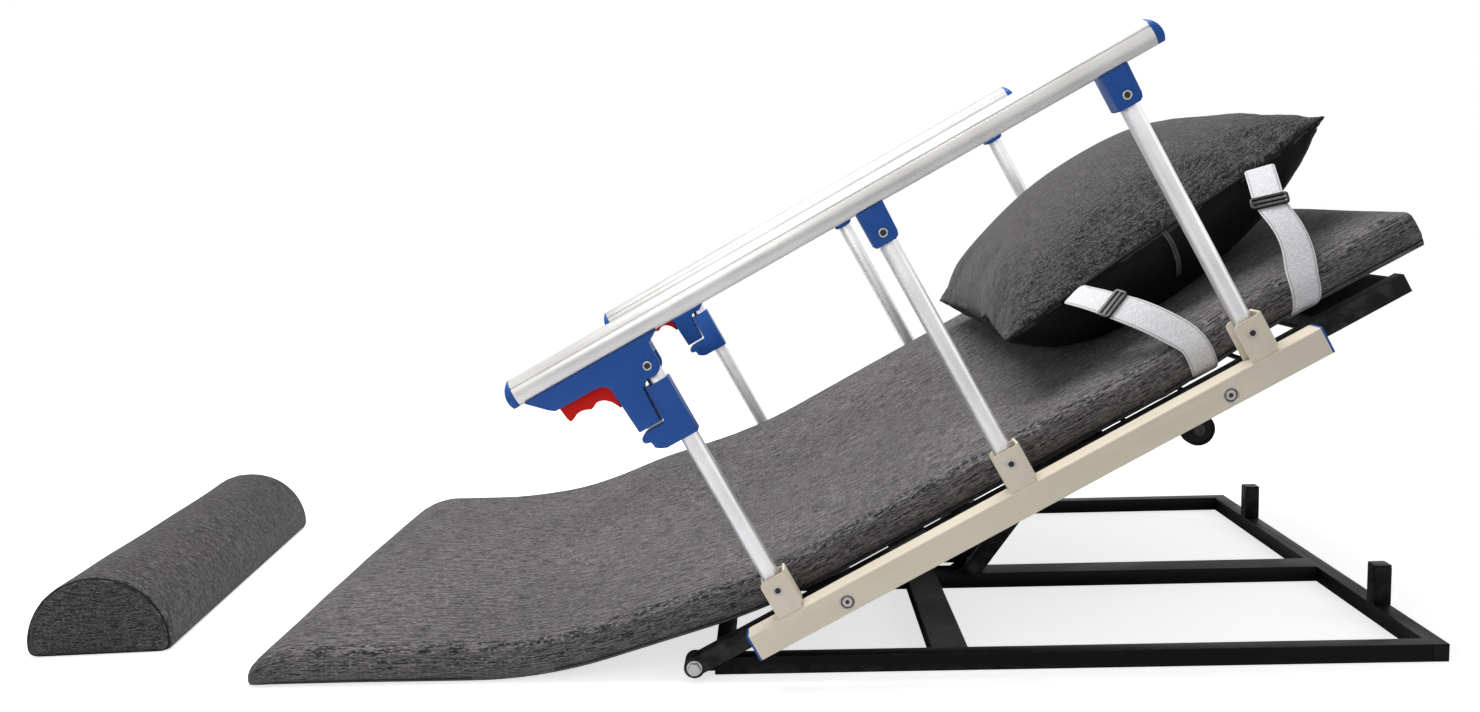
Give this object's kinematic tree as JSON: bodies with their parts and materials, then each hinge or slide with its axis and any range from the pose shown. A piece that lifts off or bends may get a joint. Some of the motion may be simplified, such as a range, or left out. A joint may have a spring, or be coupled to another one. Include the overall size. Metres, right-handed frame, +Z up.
{
  "type": "electric bed backrest lifter",
  "caption": "Hinged steel backrest on a flat base with a motor lift, folding guard rails, a long pad, a strapped pillow and a loose half-round bolster.",
  "frame": {"origin": "on the floor, centre of the underside of the base's cross member on the mid-plane", "axes": "+X towards the head end, +Y to the far guard rail, +Z up"},
  "size_m": [1.6778, 0.83, 0.6878],
  "materials": {
    "black_paint": "satin black powder coat",
    "black_plastic": "fine grain",
    "wheel_plastic": "smooth tread",
    "buckle_plastic": "moulded, slight gloss",
    "black_webbing": "woven black webbing",
    "zinc_steel": "bright zinc plated",
    "bright_steel": "ground bright",
    "pad_fabric": "charcoal melange weave",
    "pillow_fabric": "charcoal melange weave",
    "bolster_fabric": "charcoal melange weave",
    "white_webbing": "woven white webbing",
    "cream_paint": "satin cream powder coat",
    "red_plastic": "moulded, slight gloss",
    "silver_aluminium": "satin anodised",
    "blue_plastic": "moulded, satin"
  },
  "bodies": {
    "base": {"base_frame": "black_paint", "base_plugs": "black_plastic", "rest_posts": "black_paint", "post_caps": "black_plastic", "hinge_lugs": "black_paint", "hinge_bolts": "zinc_steel", "bearing_plates": "black_paint", "motor_bracket": "black_paint", "gearbox": "black_paint", "lift_motor": "zinc_steel", "motor_cap": "black_plastic", "motor_screws": "zinc_steel", "pad_foot": "pad_fabric", "pad_bend": "pad_fabric"},
    "backrest": {"backrest_sides": "black_paint", "backrest_crossbars": "black_paint", "frame_plugs": "black_plastic", "hinge_bushes": "bright_steel", "support_rods": "black_paint", "head_board": "black_paint", "lift_track": "zinc_steel", "rail_tubes": "cream_paint", "rail_tube_caps": "blue_plastic", "rail_spacers": "black_plastic", "rail_bolts": "zinc_steel", "post_brackets": "cream_paint", "bracket_pins": "zinc_steel", "wheel_lugs": "black_paint", "wheel_bolts": "zinc_steel", "pad_ties": "black_webbing", "pad_back": "pad_fabric", "pillow": "pillow_fabric", "pillow_straps": "white_webbing", "strap_buckles": "buckle_plastic"},
    "near_wheel": {"near_wheel": "wheel_plastic"},
    "far_wheel": {"far_wheel": "wheel_plastic"},
    "lift": {"lift_arms": "black_paint", "lift_shaft": "bright_steel", "roller_axle": "bright_steel"},
    "lift_roller": {"lift_roller": "wheel_plastic"},
    "bolster": {"bolster": "bolster_fabric"},
    "near_foot_post": {"near_foot_post": "silver_aluminium", "near_latch_socket": "blue_plastic"},
    "near_middle_post": {"near_middle_post": "silver_aluminium"},
    "near_head_post": {"near_head_post": "silver_aluminium"},
    "near_top_rail": {"near_top_rail": "silver_aluminium", "near_rail_fittings": "blue_plastic", "near_top_pins": "zinc_steel", "near_rail_caps": "blue_plastic", "near_latch_tongue": "zinc_steel"},
    "near_trigger": {"near_trigger": "red_plastic"},
    "far_foot_post": {"far_foot_post": "silver_aluminium", "far_latch_socket": "blue_plastic"},
    "far_middle_post": {"far_middle_post": "silver_aluminium"},
    "far_head_post": {"far_head_post": "silver_aluminium"},
    "far_top_rail": {"far_top_rail": "silver_aluminium", "far_rail_fittings": "blue_plastic", "far_top_pins": "zinc_steel", "far_rail_caps": "blue_plastic"},
    "far_trigger": {"far_trigger": "red_plastic"}
  },
  "joints": [
    {"name": "backrest_raise", "type": "hinge", "parent": "base", "child": "backrest", "pos_m": [-0.2825, 0, 0.016], "axis": [0, -1, 0], "range_deg": [-23.5, 37], "deforming": ["pad_bend"]},
    {"name": "lift_swing", "type": "hinge", "parent": "base", "child": "lift", "pos_m": [0.0685, -0.0365, 0.03], "axis": [0, -1, 0], "range_deg": [-50, 78]},
    {"name": "lift_roller_spin", "type": "hinge", "parent": "lift", "child": "lift_roller", "pos_m": [0.26215, -0.0365, 0.28475], "axis": [0, 1, 0], "continuous": true},
    {"name": "near_wheel_spin", "type": "hinge", "parent": "backrest", "child": "near_wheel", "pos_m": [0.25835, -0.369, 0.2662], "axis": [0, 1, 0], "continuous": true},
    {"name": "far_wheel_spin", "type": "hinge", "parent": "backrest", "child": "far_wheel", "pos_m": [0.25835, 0.369, 0.2662], "axis": [0, 1, 0], "continuous": true},
    {"name": "bolster_lift", "type": "slide", "parent": "base", "child": "bolster", "axis": [0, 0, 1], "range_m": [0, 0.2]},
    {"name": "near_rail_fold", "type": "hinge", "parent": "backrest", "child": "near_foot_post", "pos_m": [-0.18961, -0.398, 0.11182], "axis": [0, 1, 0], "range_deg": [-70, 0]},
    {"name": "near_middle_fold", "type": "hinge", "parent": "backrest", "child": "near_middle_post", "pos_m": [0.05452, -0.398, 0.24163], "axis": [0, 1, 0], "range_deg": [-70, 0]},
    {"name": "near_head_fold", "type": "hinge", "parent": "backrest", "child": "near_head_post", "pos_m": [0.29866, -0.398, 0.37144], "axis": [0, 1, 0], "range_deg": [-70, 0]},
    {"name": "near_rail_level", "type": "hinge", "parent": "near_foot_post", "child": "near_top_rail", "pos_m": [-0.31801, -0.398, 0.35331], "axis": [0, 1, 0], "range_deg": [0, 70]},
    {"name": "near_trigger_pull", "type": "slide", "parent": "near_top_rail", "child": "near_trigger", "axis": [-0.4695, 0, 0.8829], "range_m": [0, 0.006], "stiffness_N_per_m": 600, "springref_m": -0.002},
    {"name": "far_rail_fold", "type": "hinge", "parent": "backrest", "child": "far_foot_post", "pos_m": [-0.18961, 0.398, 0.11182], "axis": [0, 1, 0], "range_deg": [-70, 0]},
    {"name": "far_middle_fold", "type": "hinge", "parent": "backrest", "child": "far_middle_post", "pos_m": [0.05452, 0.398, 0.24163], "axis": [0, 1, 0], "range_deg": [-70, 0]},
    {"name": "far_head_fold", "type": "hinge", "parent": "backrest", "child": "far_head_post", "pos_m": [0.29866, 0.398, 0.37144], "axis": [0, 1, 0], "range_deg": [-70, 0]},
    {"name": "far_rail_level", "type": "hinge", "parent": "far_foot_post", "child": "far_top_rail", "pos_m": [-0.31801, 0.398, 0.35331], "axis": [0, 1, 0], "range_deg": [0, 70]},
    {"name": "far_trigger_pull", "type": "slide", "parent": "far_top_rail", "child": "far_trigger", "axis": [-0.4695, 0, 0.8829], "range_m": [0, 0.006], "stiffness_N_per_m": 600, "springref_m": -0.002}
  ],
  "couplings": [
    {"joint": "lift_swing", "follows": "backrest_raise", "ratio": 2.09},
    {"joint": "near_middle_fold", "follows": "near_rail_fold", "ratio": 1},
    {"joint": "near_head_fold", "follows": "near_rail_fold", "ratio": 1},
    {"joint": "near_rail_level", "follows": "near_rail_fold", "ratio": -1},
    {"joint": "far_middle_fold", "follows": "far_rail_fold", "ratio": 1},
    {"joint": "far_head_fold", "follows": "far_rail_fold", "ratio": 1},
    {"joint": "far_rail_level", "follows": "far_rail_fold", "ratio": -1}
  ]
}
